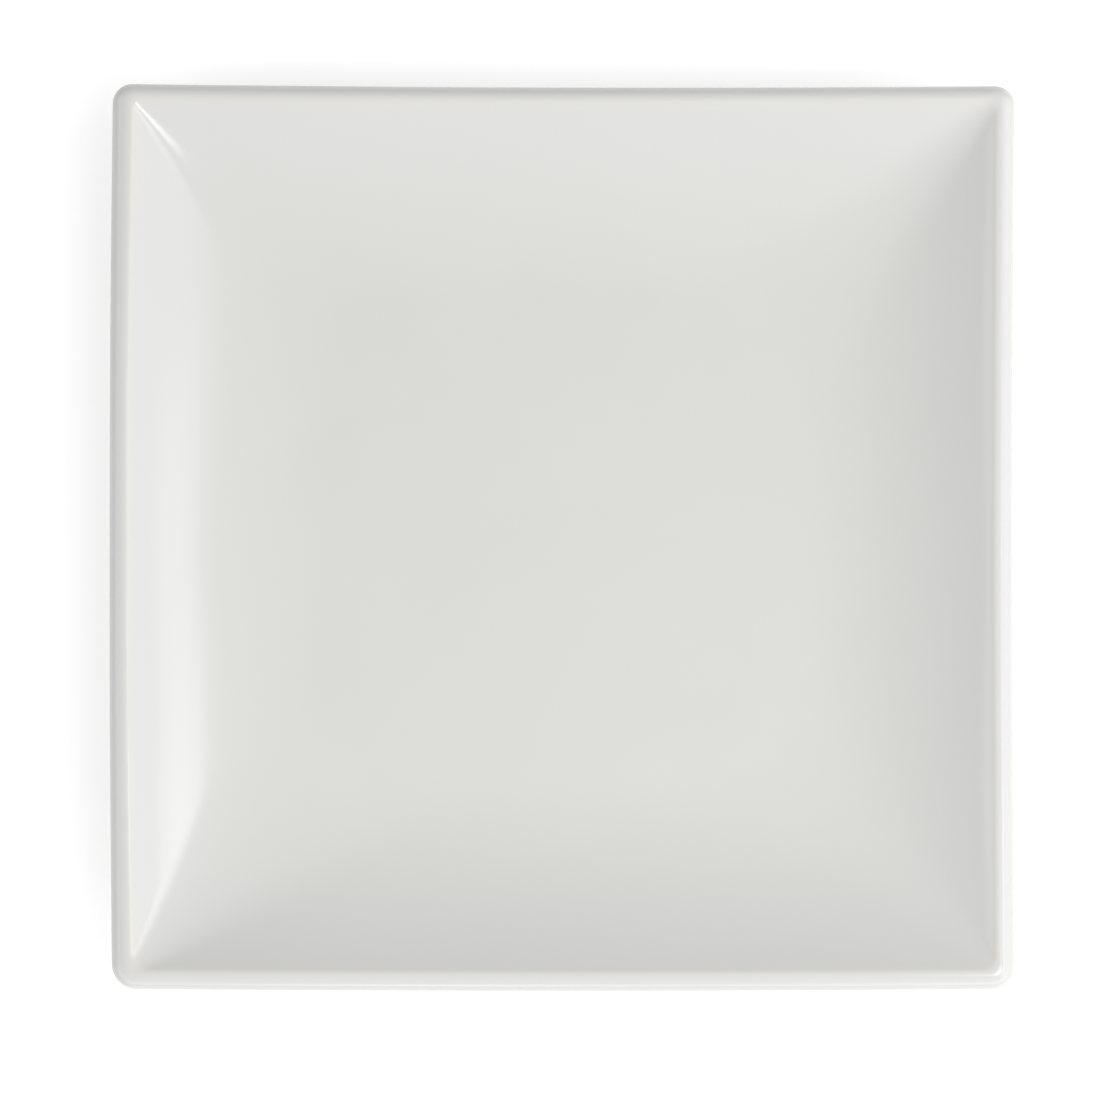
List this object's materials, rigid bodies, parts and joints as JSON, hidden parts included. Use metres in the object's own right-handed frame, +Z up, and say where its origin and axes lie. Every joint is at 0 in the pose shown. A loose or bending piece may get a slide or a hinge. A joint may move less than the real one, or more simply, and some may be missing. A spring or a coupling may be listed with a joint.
{
  "type": "square plate",
  "caption": "Square porcelain plate with a flat well, curved slopes, a rolled lip and a square foot ring, glazed white all over except for its standing edge.",
  "frame": {"origin": "on the surface that the plate stands on, under the middle of the plate", "axes": "+Z up out of the well, +X and +Y square to two of the sides"},
  "size_m": [0.24, 0.24, 0.022],
  "materials": {
    "porcelain": "matte",
    "glaze": "gloss"
  },
  "bodies": {
    "root": {"porcelain_body": "porcelain", "face_glaze": "glaze", "base_glaze": "glaze"}
  },
  "joints": []
}
